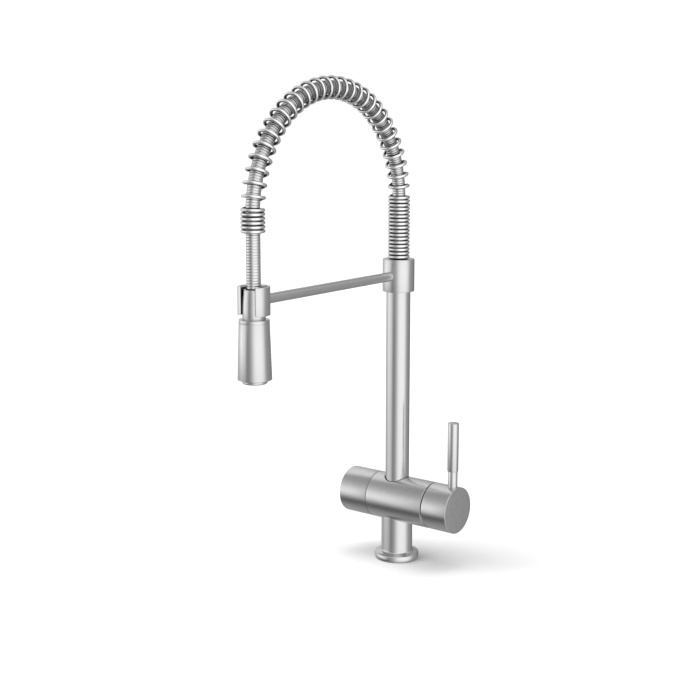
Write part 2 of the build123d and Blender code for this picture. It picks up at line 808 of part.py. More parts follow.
def even_distance(turns):
    """Distance along the route after so many turns, before the far side takes its share."""
    if turns <= stack_turns:
        return spring_start + turns * stack_pitch, stack_pitch
    if turns <= stack_turns + open_turns:
        return stack_end + (turns - stack_turns) * open_pitch, open_pitch
    return end_start + (turns - stack_turns - open_turns) * end_pitch, end_pitch


def spring_point(turns):
    """Middle of the wire after so many turns."""
    distance, pitch = even_distance(turns)
    quarter = 1 / arcs_per_turn
    before, after = even_distance(turns - quarter)[1], even_distance(turns + quarter)[1]
    pitch = min(pitch, before, after)
    direction, outward = on_route(distance)[1:]
    side = math.radians(level_side)
    seen_from = Vector(math.sin(side), -math.cos(side), 0)
    front = math.atan2(seen_from.X, seen_from.dot(outward))
    angle = 2 * math.pi * turns
    distance -= advance_share * pitch * math.sin(angle - front) / (2 * math.pi)
    centre, direction, outward = on_route(distance)
    across = Vector(1, 0, 0)
    return centre + (outward * math.cos(angle) + across * math.sin(angle)) * spring_radius


def spring_direction(turns):
    step = 1e-4               # of a turn
    return (spring_point(turns + step) - spring_point(turns - step)).normalized()


def biarc(start, start_way, end, end_way):
    """Two arcs that meet smoothly between two points with given directions.

    Each arc's tangents are of one length, which the quadratic equation gives."""
    chord = end - start
    both = start_way + end_way
    slack = 2 * (1 - start_way.dot(end_way))
    along = chord.dot(both)
    arm = (math.sqrt(along * along + slack * chord.dot(chord)) - along) / slack
    middle = (start + end + (start_way - end_way) * arm) * 0.5
    middle_way = (end - end_way * arm - start - start_way * arm).normalized()
    return [Edge.make_tangent_arc(start, start_way, middle), Edge.make_tangent_arc(middle, middle_way, end)]


def spring_gap():
    """Least room between one turn of the wire and the next, measured on points."""
    steps = 48
    points = [spring_point(i / steps) for i in range(all_turns * steps + 1)]
    least = reach
    for i, point in enumerate(points):
        for j in range(i + steps // 2, min(i + steps + steps // 2, len(points))):
            least = min(least, (points[j] - point).length)
    return least - 2 * wire_radius


def main_spring():
    count = all_turns * arcs_per_turn
    places = [i / arcs_per_turn for i in range(count + 1)]
    stations = [(spring_point(turns), spring_direction(turns)) for turns in places]
    first, first_way = stations[0]
    last, last_way = stations[-1]
    edges = [Edge.make_line(first - first_way * (2 * wire_radius), first)]
    for (start, start_way), (end, end_way) in zip(stations, stations[1:]):
        edges += biarc(start, start_way, end, end_way)
    edges.append(Edge.make_line(last, last + last_way * (2 * wire_radius)))
    path = Wire(edges)
    section = Plane(first - first_way * (2 * wire_radius), z_dir=first_way) * Circle(wire_radius)
    return sweep(section, path=path)


hose_start = manifold_top - arch_height
split = arch_length + hose_split_drop
hose_end = arch_length + arch_height - (ferrule_top - ferrule_cup)
rib_pitch = (hose_end - hose_start) / hose_ribs


def route_plane(distance):
    point, direction, outward = on_route(distance)
    return Plane(point, x_dir=(1, 0, 0), z_dir=direction)


def ribbed_hose(start, end):
    """Metal hose with its bore and an even row of ribs, along the route."""
    ribs = round((end - start) / rib_pitch)
    pitch = (end - start) / ribs
    root = hose_radius - hose_rib_depth
    circles = [route_plane(start + (rib + share) * pitch) * Circle(root + height * hose_rib_depth)
               for rib in range(ribs) for share, height in rib_profile]
    circles.append(route_plane(end) * Circle(root))
    skin = loft(circles, ruled=True)
    bore = sweep(route_plane(start) * Circle(hose_bore), path=Wire(route_edges(start, end)))
    return skin - bore


def route_edges(start, end):
    """The route between two distances as straight lines and one arc."""
    edges = []
    if start < 0:
        edges.append(Edge.make_line(on_route(start)[0], on_route(min(end, 0))[0]))
    if end > 0 and start < arch_length:
        low, high = max(start, 0), min(end, arch_length)
        ends_and_middle = [on_route(d)[0] for d in (low, (low + high) / 2, high)]
        edges.append(Edge.make_three_point_arc(*ends_and_middle))
    if end > arch_length:
        edges.append(Edge.make_line(on_route(max(start, arch_length))[0], on_route(end)[0]))
    return edges


def hose_arch():
    return ribbed_hose(hose_start, split)


def hose_tail():
    return ribbed_hose(split + body_gap, hose_end)


# Spray head

def hose_ferrule():
    low = neck_seat + washer_height
    radius = neck_bore - running_fit
    ferrule = upright(radius, low, ferrule_top, 0, -reach)
    ferrule -= upright(hose_radius + seat_fit, ferrule_top - ferrule_cup, ferrule_top, 0, -reach)
    return ferrule - upright(hose_bore, low, ferrule_top, 0, -reach)


def spray_neck():
    neck = bevel_ends(upright(neck_radius, head_top, neck_top, 0, -reach), Axis.Z, neck_edge)
    neck += upright(neck_thread_radius, neck_thread_bottom, head_top, 0, -reach)
    neck -= upright(neck_bore, neck_seat, neck_top, 0, -reach)
    return neck - upright(neck_water_bore, neck_thread_bottom, neck_top, 0, -reach)


def neck_washer():
    top = neck_seat + washer_height - washer_gap
    return upright_tube(neck_bore - seat_fit, hose_bore, neck_seat, top, 0, -reach)


def check_valve():
    top = neck_seat - valve_below_seat
    return upright_tube(valve_radius, valve_bore, top - valve_height, top, 0, -reach)


def seam_ring():
    low = head_top - seam_ring_height
    disc = bevel_ends(upright(head_top_radius, low, head_top, 0, -reach), Axis.Z, seam_edge)
    return disc - upright(neck_thread_radius + seat_fit, low, head_top, 0, -reach)


def spray_shell():
    top = head_top - seam_ring_height
    height = top - head_bottom
    taper = Pos(0, -reach, head_bottom) * Cone(head_bottom_radius, head_top_radius, height, align=UP)
    taper = bevel_ends(taper, Axis.Z, head_edge)
    hollow = Pos(0, -reach, head_bottom) * Cone(head_bottom_radius - head_wall, head_top_radius - head_wall,
                                                height - head_roof, align=UP)
    return taper - hollow - upright(neck_thread_radius + seat_fit, head_bottom, top, 0, -reach)


def face_seat_radius(height):
    """Radius of the shell's hollow at a height above its mouth."""
    full = head_top - seam_ring_height - head_bottom - head_roof
    return head_bottom_radius - head_wall - (head_bottom_radius - head_top_radius) * height / full


def spray_face():
    top = head_bottom + face_flange
    body = upright(face_seat_radius(face_flange) - seat_fit, head_bottom, top, 0, -reach)
    rim = upright(face_radius, face_bottom, head_bottom, 0, -reach)
    body += chamfer(rim.faces().sort_by(Axis.Z)[0].edges(), face_edge)
    return body - upright(face_radius - face_wall, face_bottom, top, 0, -reach)


nozzle_low = face_bottom + nozzle_recess
nozzle_plate_radius = face_radius - face_wall - seat_fit


def nozzle_plate():
    low = nozzle_low
    plate = upright(nozzle_plate_radius, low, low + nozzle_plate_height, 0, -reach)
    holes = []
    for count, radius in zip(nozzle_counts, nozzle_ring_radii):
        for i in range(count):
            x, y = on_circle(radius, 360 * i / count)
            holes.append(upright(nozzle_radius, low, low + nozzle_plate_height, x, y - reach))
    return plate - holes


def water_spreader():
    """Inner ring that carries the nozzle plate and seals against the face."""
    low = nozzle_low + nozzle_plate_height
    inner = nozzle_plate_radius - spreader_width
    return upright_tube(nozzle_plate_radius, inner, low, head_bottom + face_flange, 0, -reach)


nodes = {
    "base_flange": base_flange,
    "flange_gasket": flange_gasket,
    "pedestal": pedestal,
    "inlet_block": inlet_block,
    "port_rings": port_rings,
    "valve_body": valve_body,
    "glide_ring": glide_ring,
    "spout_screw": spout_screw,
    "cartridge_base": cartridge_base,
    "cartridge_body": cartridge_body,
    "cartridge_seals": cartridge_seals,
    "mixer_fixed_disc": mixer_fixed_disc,
    "mixer_moving_disc": mixer_moving_disc,
    "disc_driver": disc_driver,
    "cartridge_carrier": cartridge_carrier,
    "stem_pin": stem_pin,
    "cartridge_stem": cartridge_stem,
    "cartridge_nut": cartridge_nut,
    "trim_dome": trim_dome,
    "mixer_cap": mixer_cap,
    "cap_screw": cap_screw,
    "lever_stem": lever_stem,
    "lever_grip": lever_grip,
    "headwork_body": headwork_body,
    "headwork_ring": headwork_ring,
    "filter_fixed_disc": filter_fixed_disc,
    "filter_turning_disc": filter_turning_disc,
    "filter_spindle": filter_spindle,
    "filter_knob": filter_knob,
    "knob_screw": knob_screw,
    "swivel_spigot": swivel_spigot,
    "spigot_rings": spigot_rings,
    "column_tube": column_tube,
    "mixed_water_tube": lambda: water_tube(0),
    "filtered_water_tube": lambda: water_tube(1),
    "hose_manifold": hose_manifold,
    "collar": collar,
    "collar_screw": collar_screw,
    "spring_seat": spring_seat,
    "support_arm": support_arm,
    "arm_screws": arm_screws,
    "holder_clip": holder_clip,
    "clip_liner": clip_liner,
    "main_spring": main_spring,
    "hose_arch": hose_arch,
    "hose_tail": hose_tail,
    "hose_ferrule": hose_ferrule,
    "spray_neck": spray_neck,
    "neck_washer": neck_washer,
    "check_valve": check_valve,
    "seam_ring": seam_ring,
    "spray_shell": spray_shell,
    "spray_face": spray_face,
    "nozzle_plate": nozzle_plate,
    "water_spreader": water_spreader,
}

os.makedirs("parts", exist_ok=True)
for name, make in nodes.items():
    made = make()
    solids = made if isinstance(made, list) else [made]
    shape = Compound(children=[solid for piece in solids for solid in piece.solids()])
    export_step(shape, f"parts/{name}.step")

print(f"least gap between the spring's turns: {spring_gap():.2f} mm")
print(f"open turns lie {open_pitch:.2f} mm apart, ribs {rib_pitch:.2f} mm")
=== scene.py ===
# %% [markdown]
# # A spring-neck kitchen mixer with a second tap for filtered water
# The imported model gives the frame: where every piece lies, at its real size, and what it moves with.
# This file dresses that frame. Each piece that shows is modelled again with rounder edges and finer
# detail than the solids have, and each gets a finish made of nodes. Lengths below are in millimetres
# and are turned into metres by the factor mm.

# %% Load the frame
import math
import bpy
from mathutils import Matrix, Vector


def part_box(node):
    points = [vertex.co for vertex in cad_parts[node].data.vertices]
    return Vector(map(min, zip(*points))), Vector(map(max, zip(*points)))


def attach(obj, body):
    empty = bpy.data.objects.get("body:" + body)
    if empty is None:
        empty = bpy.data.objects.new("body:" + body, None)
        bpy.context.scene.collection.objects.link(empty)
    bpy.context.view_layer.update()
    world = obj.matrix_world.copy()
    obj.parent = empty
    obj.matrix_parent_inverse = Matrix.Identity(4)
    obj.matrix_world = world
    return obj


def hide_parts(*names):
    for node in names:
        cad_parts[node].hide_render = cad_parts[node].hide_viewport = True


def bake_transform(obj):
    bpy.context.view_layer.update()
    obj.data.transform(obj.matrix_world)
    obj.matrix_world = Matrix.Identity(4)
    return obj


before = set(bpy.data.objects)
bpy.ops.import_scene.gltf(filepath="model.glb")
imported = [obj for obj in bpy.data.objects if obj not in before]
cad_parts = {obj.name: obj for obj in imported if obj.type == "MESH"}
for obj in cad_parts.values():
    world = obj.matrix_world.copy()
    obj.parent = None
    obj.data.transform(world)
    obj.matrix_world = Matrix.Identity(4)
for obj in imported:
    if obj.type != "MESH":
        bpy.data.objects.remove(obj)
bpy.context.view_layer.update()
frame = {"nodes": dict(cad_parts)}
mm = 0.001
nodes = frame["nodes"]

# %% [markdown]
# ## Camera
# The photograph looks down on the faucet by eleven degrees, from the cap's side of its front.
# A long lens a metre and a half away gives the same slight perspective. The place and the lens were
# found by fitting the projected edges of the column, the drum and the arch to the photograph.

# %% Camera
photo_width = 700             # pixels
focal_length = 1359.16        # of the lens, in pixels of the photograph
sensor = 36.0                 # its width, in millimetres
camera_place = Vector((0.8118, -1.1339, 0.4914))
camera_turn = 37.66           # degrees to the left of +Y
camera_dip = 10.80            # degrees below the horizon

lens = bpy.data.cameras.new("camera")
lens.sensor_width = sensor
lens.lens = sensor * focal_length / photo_width
camera = bpy.data.objects.new("camera", lens)
bpy.context.scene.collection.objects.link(camera)
camera.location = camera_place
camera.rotation_euler = (math.radians(90 - camera_dip), 0, math.radians(camera_turn))
bpy.context.scene.camera = camera
print("lens", round(lens.lens, 2), "mm")

# %% [markdown]
# ## Shader maths as Python
# A finish is a small sum of noises, so the sums are written as Python sums. The class below wraps a
# node's output: adding or multiplying two of them makes the Math node that does it. Every other kind
# of node comes from the one method node(), which takes its type, its settings and its inputs.

# %% The class that makes nodes
class Value:
    """A number or a colour that comes out of a node."""

    def __init__(self, nodes, socket):
        self.nodes = nodes
        self.socket = socket

    def maths(self, operation, *others):
        numbered = dict(enumerate((self, *others)))
        return self.nodes.node("ShaderNodeMath", {"operation": operation}, numbered)

    def __add__(self, other):
        return self.maths("ADD", other)

    __radd__ = __add__

    def __mul__(self, other):
        return self.maths("MULTIPLY", other)

    __rmul__ = __mul__

    def __sub__(self, other):
        return self.maths("SUBTRACT", other)

    def __rsub__(self, other):
        return (self * -1) + other


class NodeTree:
    """The nodes of a material or of the world."""

    def __init__(self, owner):
        owner.use_nodes = True
        self.tree = owner.node_tree
        self.tree.nodes.clear()

    def node(self, kind, settings=None, inputs=None, output=0):
        made = self.tree.nodes.new(kind)
        for key, value in (settings or {}).items():
            setattr(made, key, value)
        for key, value in (inputs or {}).items():
            if isinstance(value, Value):
                self.tree.links.new(value.socket, made.inputs[key])
            else:
                made.inputs[key].default_value = value
        return Value(self, made.outputs[output])

    def end(self, kind, shader):
        output = self.tree.nodes.new(kind)
        self.tree.links.new(shader.socket, output.inputs["Surface"])


class Finish(NodeTree):
    """A material."""

    def __init__(self, name):
        self.material = bpy.data.materials.new(name)
        super().__init__(self.material)

    def place(self):
        """Where a point of the piece lies, in metres."""
        return self.node("ShaderNodeTexCoord", output="Object")

    def noise(self, place, stretch, detail=2.0, roughness=0.5):
        """Noise from 0 to 1. The stretch is how many of its lumps fit in a metre, along each axis."""
        lumps = self.node("ShaderNodeMapping", {"vector_type": "POINT"},
                          {"Vector": place, "Scale": stretch})
        return self.node("ShaderNodeTexNoise", {}, {"Vector": lumps, "Scale": 1.0, "Detail": detail,
                                                    "Roughness": roughness})

    def attribute(self, name):
        """A number that is stored on the mesh."""
        return self.node("ShaderNodeAttribute", {"attribute_name": name}, output="Fac")

    def tint(self, colour, shade):
        """The colour, made lighter and darker by a value about 1."""
        return self.node("ShaderNodeVectorMath", {"operation": "SCALE"}, {0: colour, "Scale": shade})

    def bump(self, height, depth, strength):
        """A relief whose full height is the depth, in metres."""
        relief = {"Height": height, "Distance": depth, "Strength": strength}
        return self.node("ShaderNodeBump", {}, relief, "Normal")

    def surface(self, **inputs):
        """Ends the tree in one Principled shader. Underscores in the names stand for blanks."""
        named = {key.replace("_", " "): value for key, value in inputs.items()}
        self.end("ShaderNodeOutputMaterial", self.node("ShaderNodeBsdfPrincipled", {}, named))
        return self.material


print("shader maths ready")

# %% [markdown]
# ## Satin metal
# The real faucet is brass and steel with a satin nickel finish: it is brushed round each turned piece,
# so its scratches run across the axis, and then plated. What shows is a broad soft highlight with faint
# fine lines and slow clouds in it. The lines are a noise squeezed along the piece's axis. They change
# the roughness, and lift the surface by up to a hundredth of a millimetre. Wider and fainter streaks
# change the colour. Faces in the narrow joints, where shade falls, are darkened with painted shade. The
# attribute joint of the mesh is 1 there, less where the painted shade thins out, and 0 elsewhere.

# %% Satin metal
nickel = (0.66, 0.66, 0.66)
line_stretch = (160.0, 9000.0)      # brushed lines in a metre, along the brushing and across it
streak_stretch = (250.0, 1200.0)    # the wider streaks, likewise
clouds_in_a_metre = 45.0
# how dark the painted shade in the joints is
painted_shade_darkness = 0.93


def across(axis, stretch):
    """A noise's stretch with its second number along the axis and its first one round it."""
    return [stretch[1] if i == axis else stretch[0] for i in range(3)]


def satin(name, axis, roughness, spread=0.10, relief=0.004, clouds=0.035, grain=0.05):
    """Brushed metal whose lines run round the given axis: 0, 1 or 2 for X, Y or Z."""
    finish = Finish(name)
    place = finish.place()
    lines = finish.noise(place, across(axis, line_stretch), detail=3.0, roughness=0.6)
    slow = finish.noise(place, [clouds_in_a_metre] * 3)
    streaks = finish.noise(place, across(axis, streak_stretch))
    # painted shade: faces in a joint are darkened by the attribute joint
    unshaded = 1 - finish.attribute("joint") * painted_shade_darkness
    shade = (1.0 + (slow - 0.5) * clouds + (streaks - 0.5) * grain) * unshaded
    gloss = roughness + (lines - 0.5) * spread + (slow - 0.5) * spread * 0.5
    return finish.surface(Base_Color=finish.tint(nickel, shade), Metallic=1.0, Roughness=gloss,
                          Normal=finish.bump(lines, relief * mm, 0.6))


satin_upright = satin("satin metal, brushed round the uprights", 2, 0.23)
satin_drum = satin("satin metal, brushed round the drum", 0, 0.24, spread=0.06, relief=0.010,
                   clouds=0.04, grain=0.20)
satin_arm = satin("satin metal, brushed round the arm", 1, 0.25)
print("satin metal:", satin_upright.name)

# %% [markdown]
# ## The other finishes
# The spring is drawn wire. Its crests are bright and smooth, while its flanks and its inner side are
# painted dark and made rougher: painted shade, where the turns and the hose hide the wire from the light.
# The hose is a rolled strip of steel, which is painted darker and a little rougher over the arch, as the
# shade of the spring's turns. How bright each point is comes from an attribute of the mesh, which holds
# that painted shade and the polish together. The clip is lined with matt black plastic that has a fine
# moulded grain, and the nozzles are grey silicone. Inside there are brass, white ceramic, rubber and
# plain steel screws, which show when the pieces are taken apart.

# %% Wire, hose, plastics and inner materials
def shaded_polished_steel(name, shaded_grey, bright, dull_roughness, roughness):
    """Steel whose grey goes from a dark painted shade to a bright one, and whose roughness changes too,
    with the mesh attribute of painted shade and polish.
    """
    finish = Finish(name)
    place = finish.place()
    marks = finish.noise(place, [900.0] * 3, detail=3.0)
    slow = finish.noise(place, [60.0] * 3)
    shade_and_polish = finish.attribute("shade_and_polish")
    grey = shade_and_polish * (bright - shaded_grey) + shaded_grey
    shade = grey * (1.0 + (slow - 0.5) * 0.08 + (marks - 0.5) * 0.06)
    gloss = shade_and_polish * (roughness - dull_roughness) + dull_roughness + (marks - 0.5) * 0.12
    return finish.surface(Base_Color=finish.tint((1, 1, 1), shade), Metallic=1.0, Roughness=gloss,
                          Normal=finish.bump(marks, 0.003 * mm, 0.5))


def moulded(name, colour, roughness, grain=2600.0, relief=0.012):
    """Plastic, rubber or ceramic with the fine grain of its mould, in grains to a metre."""
    finish = Finish(name)
    place = finish.place()
    pits = finish.noise(place, [grain] * 3)
    slow = finish.noise(place, [120.0] * 3)
    shade = 1.0 + (slow - 0.5) * 0.25
    gloss = roughness + (pits - 0.5) * 0.15
    return finish.surface(Base_Color=finish.tint(colour, shade), Roughness=gloss,
                          Normal=finish.bump(pits, relief * mm, 0.7))


def machined(name, colour, roughness):
    """Turned or milled metal, as it comes from the machine."""
    finish = Finish(name)
    place = finish.place()
    cuts = finish.noise(place, [2200.0, 2200.0, 7000.0])
    slow = finish.noise(place, [90.0] * 3)
    shade = 1.0 + (slow - 0.5) * 0.12
    gloss = roughness + (cuts - 0.5) * 0.14
    return finish.surface(Base_Color=finish.tint(colour, shade), Metallic=1.0, Roughness=gloss,
                          Normal=finish.bump(cuts, 0.006 * mm, 0.6))


# the dark greys are painted shade: on the wire's flanks and inner side, and on the hose under the
# spring's turns over the arch
spring_wire = shaded_polished_steel("spring wire", 0.03, 0.92, 0.30, 0.12)
hose_steel = shaded_polished_steel("hose steel", 0.54, 0.69, 0.22, 0.18)
black_plastic = moulded("matt black plastic", (0.012, 0.012, 0.012), 0.5)
nozzle_silicone = moulded("grey silicone", (0.09, 0.09, 0.095), 0.55)
rubber = moulded("seal rubber", (0.02, 0.02, 0.02), 0.6, grain=1800.0)
ceramic = moulded("white ceramic", (0.80, 0.79, 0.76), 0.18, grain=900.0, relief=0.002)
brass = machined("machined brass", (0.72, 0.56, 0.28), 0.3)
screw_steel = machined("plain steel", (0.56, 0.57, 0.58), 0.28)
finishes = {"satin_metal": satin_upright, "spring_steel": spring_wire, "hose_metal": hose_steel,
            "black_plastic": black_plastic, "nozzle_plastic": nozzle_silicone, "seal_rubber": rubber,
            "disc_ceramic": ceramic, "inner_brass": brass, "screw_steel": screw_steel}
for node in nodes.values():
    for material_slot in node.material_slots:
        material_slot.material = finishes[material_slot.material.name]
print(len(finishes), "finishes on the CAD nodes")

# %% [markdown]
# ## Turning on a lathe
# Nearly every piece of this faucet is turned. Its half outline is drawn as a chain of points by
# extruding one vertex, and spun round the axis, as a lathe does. The edges are then rounded by a Bevel
# modifier, because a real edge always catches a thin line of light.

# %% Lathe helpers
spin_steps = 128
small_steps = 64              # for a piece of a few millimetres
screw_steps = 48              # for a screw's hole
axes = (Vector((1, 0, 0)), Vector((0, 1, 0)), Vector((0, 0, 1)))
outline_sides = (Vector((0, 0, 1)), Vector((1, 0, 0)), Vector((1, 0, 0)))
sharp_edge = math.radians(32)
merge_distance = 1e-6         # in metres


def one_point(name, place):
    """A new mesh of one vertex, left in edit mode. It is a small square, merged at its middle."""
    bpy.ops.object.select_all(action="DESELECT")
    bpy.ops.mesh.primitive_plane_add(size=mm, location=(0, 0, 0))
    piece = bpy.context.object
    piece.name = piece.data.name = name
    bpy.ops.object.mode_set(mode="EDIT")
    bpy.ops.mesh.select_all(action="SELECT")
    bpy.ops.mesh.merge(type="CENTER")
    bpy.ops.transform.translate(value=place)
    return piece


def draw(points):
    """Extrudes the selected vertex from point to point."""
    for start, end in zip(points, points[1:]):
        bpy.ops.mesh.extrude_region_move(TRANSFORM_OT_translate={"value": end - start})


def tidy():
    """Merges doubles and turns all faces outwards, in edit mode, and leaves edit mode."""
    bpy.ops.mesh.select_all(action="SELECT")
    bpy.ops.mesh.remove_doubles(threshold=merge_distance)
    bpy.ops.mesh.normals_make_consistent(inside=False)
    bpy.ops.object.mode_set(mode="OBJECT")


def closed(outline):
    """An outline that ends where it starts, as that of a tube does."""
    return outline + outline[:1]


def lathe(name, outline, axis=2, middle=(0.0, 0.0, 0.0), steps=spin_steps):
    """Turned piece. The outline is a list of (radius, distance along the axis), in millimetres."""
    middle = Vector(middle)
    points = [middle + (axes[axis] * along + outline_sides[axis] * radius) * mm
              for radius, along in outline]
    piece = one_point(name, points[0])
    draw(points)
    bpy.ops.mesh.select_all(action="SELECT")
    bpy.ops.mesh.spin(steps=steps, angle=2 * math.pi, center=middle, axis=axes[axis])
    tidy()
    return piece


def prism(name, corners, pull):
    """A flat closed outline, filled and pulled to a solid."""
    piece = one_point(name, corners[0])
    draw(closed(corners))
    bpy.ops.mesh.select_all(action="SELECT")
    bpy.ops.mesh.remove_doubles(threshold=merge_distance)
    bpy.ops.mesh.edge_face_add()
    bpy.ops.mesh.extrude_region_move(TRANSFORM_OT_translate={"value": pull})
    tidy()
    return piece


def arc(centre, radius, start, end, count=6):
    """Points of an arc in an outline, between two angles in degrees."""
    angles = [math.radians(start + (end - start) * i / count) for i in range(count + 1)]
    return [(centre[0] + radius * math.cos(a), centre[1] + radius * math.sin(a)) for a in angles]


def select_only(piece):
    bpy.ops.object.select_all(action="DESELECT")
    piece.select_set(True)
    bpy.context.view_layer.objects.active = piece


def apply_modifiers(piece):
    select_only(piece)
    for modifier in list(piece.modifiers):
        bpy.ops.object.modifier_apply(modifier=modifier.name)


def cut(piece, *tools):
    """Takes the tools' shapes out of a piece, and throws the tools away."""
    for tool in tools:
        cutting = piece.modifiers.new("cut", "BOOLEAN")
        cutting.operation = "DIFFERENCE"
        cutting.solver = "EXACT"
        cutting.object = tool
        apply_modifiers(piece)
        bpy.data.objects.remove(tool)
    return piece


def round_edges(piece, width, segments=3):
    """Rounds every edge that turns by more than sharp_edge. The width is in millimetres."""
    bevel = piece.modifiers.new("round edges", "BEVEL")
    bevel.width = width * mm
    bevel.segments = segments
    bevel.limit_method = "ANGLE"
    bevel.angle_limit = sharp_edge
    apply_modifiers(piece)
    return piece


def finished(piece, body, slot, material, *replaced, smooth=30.0):
    """Gives a piece its finish and its place in the frame."""
    select_only(piece)
    bpy.ops.object.shade_smooth_by_angle(angle=math.radians(smooth))
    piece.data.materials.clear()
    piece.data.materials.append(material)
    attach(piece, body)
    if replaced:
        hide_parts(*replaced)
    print(piece.name, len(piece.data.polygons), "faces")
    return piece


def ramp(value, start, end):
    """From 0 at the start to 1 at the end, with no corners."""
    share = min(max((value - start) / (end - start), 0), 1)
    return share * share * (3 - 2 * share)


def paint_joint_shade(piece, shade_at):
    """Paints shade, as a darker colour, on the faces whose corners all lie in a joint. The given function
    gives 0 to 1 at a corner, in mm.
    """
    corners = [shade_at(vertex.co / mm) for vertex in piece.data.vertices]
    marks = [float(min(corners[i] for i in face.vertices)) for face in piece.data.polygons]
    piece.data.attributes.new("joint", "FLOAT", "FACE").data.foreach_set("value", marks)
    print(piece.name, sum(mark > 0 for mark in marks), "faces in a joint")


def ends(node, axis):
    """Where a node starts and ends along an axis, in millimetres."""
    low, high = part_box(node)
    return low[axis] / mm, high[axis] / mm


def rod(name, radius, start, end, axis=2, middle=(0.0, 0.0, 0.0), steps=spin_steps):
    """Plain round bar, mostly used as a cutting tool."""
    return lathe(name, [(0, start), (radius, start), (radius, end), (0, end)], axis, middle, steps)


print("lathe ready,", spin_steps, "steps a turn")

# %% [markdown]
# ## Foot
# The foot is a flange with a rounded bead, which covers the hole in the deck, and a short pedestal that
# carries the drum. The flange is drawn as one outline: out along the foot, round the bead, over the
# narrow step, up the hollow cove and down the bore. The pedestal is a tube, and a tool of the drum's
# size cuts the saddle in its top.

# %% Flange and pedestal
joint_room = 0.03             # between pieces that are pushed together
body_radius = 24.3
body_axis = 65.8
drum_middle = (0.0, 0.0, body_axis * mm)
pedestal_radius = 16.55
pedestal_bore = 14.0
flange_bore = pedestal_radius + joint_room
cove_radius = 2.4
cove_foot = 7.6
bead = [(22.3, 0.0), (22.7, 0.25), (23.15, 1.2), (23.42, 2.3), (23.5, 3.4), (23.44, 4.5), (23.25, 5.6),
        (22.98, 6.4), (22.7, 6.75), (22.3, 6.92)]
cove = arc((flange_bore + cove_radius, cove_foot + cove_radius), cove_radius, 270, 180)
flange_outline = [(flange_bore, 0.0)] + bead + [(flange_bore + cove_radius, cove_foot)] + cove
flange = lathe("foot_flange", closed(flange_outline))
finished(flange, "base", "satin_metal", satin_upright, "base_flange", smooth=40)

stand = lathe("foot_pedestal", closed([(pedestal_radius, 0), (pedestal_radius, body_axis),
                                       (pedestal_bore, body_axis), (pedestal_bore, 0)]))
cut(stand, rod("drum tool", body_radius + joint_room, -30, 50, 0, drum_middle))
finished(stand, "base", "satin_metal", satin_upright, "pedestal")

# %% [markdown]
# ## Drum
# The valve body is a drum that lies across the pedestal. It is turned with small bevels at its ends,
# then cut: a flat seat with a clearance round the column's foot, the spigot's bore under it, a bore for
# the mixer cartridge at one end and for the filter tap's headwork at the other. The bores are real here
# too, so a piece that is taken away leaves an open hole, not a painted disc. The end under the cap and
# the wall round the column's foot get painted shade, so they show as dark lines.

# %% Valve body
body_start, body_end = -24.0, 46.0
column_radius = 12.5
seat_height = 76.0
seat_gap = 0.95               # round the column's foot
drum_edge = 0.5
joint_edge = 0.25             # of the finer bevels on both sides of the joints
nut_bore, nut_seat = 19.43, 33.5
cartridge_bore, cartridge_seat = 17.53, 16.5
headwork_bore, headwork_seat = 9.63, -11.5
spigot_bore, spigot_foot = 9.6, 56.2
set_screw_bore = 2.03
spout_screw_height, spout_screw_seat = 81.0, 10.0
past = 1.0                    # how far a tool runs past the face that it opens


def bevel_arc(radius, along, width, start, end):
    """A bevel at the end of a drum-like piece, whose arc has its middle at the given distance."""
    return arc((radius - width, along), width, start, end, 4)


drum_outline = [(0, body_start)]
drum_outline += bevel_arc(body_radius, body_start + joint_edge, joint_edge, 270, 360)
drum_outline += bevel_arc(body_radius, body_end - drum_edge, drum_edge, 0, 90)
drum = lathe("valve_drum", drum_outline + [(0, body_end)], 0, drum_middle)
tools = [rod("cartridge tool", nut_bore, nut_seat, body_end + past, 0, drum_middle),
         rod("cartridge tool", cartridge_bore, cartridge_seat, nut_seat + past / 2, 0, drum_middle),
         rod("headwork tool", headwork_bore, body_start - past, headwork_seat, 0, drum_middle),
         rod("seat tool", column_radius + seat_gap, seat_height, body_axis + body_radius + past),
         rod("spigot tool", spigot_bore, spigot_foot, seat_height + past),
         rod("screw tool", set_screw_bore, spout_screw_seat, body_radius + past, 1,
             (0, 0, spout_screw_height * mm), screw_steps)]
cut(drum, *tools)

face_room = 0.02              # within which a corner counts as lying on a face
# the painted shade on the end grows from here up to the axis
painted_shade_start = body_axis - 9.0


def drum_painted_shade(corner):
    """Painted shade. The end is dark above the axis. The wall round the column's foot is dark on its
    outer side.
    """
    if corner.x > body_end - face_room:
        return ramp(corner.z, painted_shade_start, body_axis)
    wall_radius = column_radius + seat_gap
    on_wall = corner.z > seat_height - face_room and corner.xy.length < wall_radius + face_room
    return ramp(-corner.x, -6, 0) * on_wall


paint_joint_shade(drum, drum_painted_shade)
finished(drum, "base", "satin_metal", satin_drum, "valve_body")

# %% [markdown]
# ## Knob and cap
# Two shells close the drum's ends. The knob turns the filter tap and the cap carries the mixer's lever.
# Both are thin shells with a boss inside, so their outlines go round the outer wall, over the closed
# end and back along the inside. The cap's rim is cut back on a slant below the axis, because the cap
# tilts out there when the lever is pulled, and a small dome closes the gap behind it.

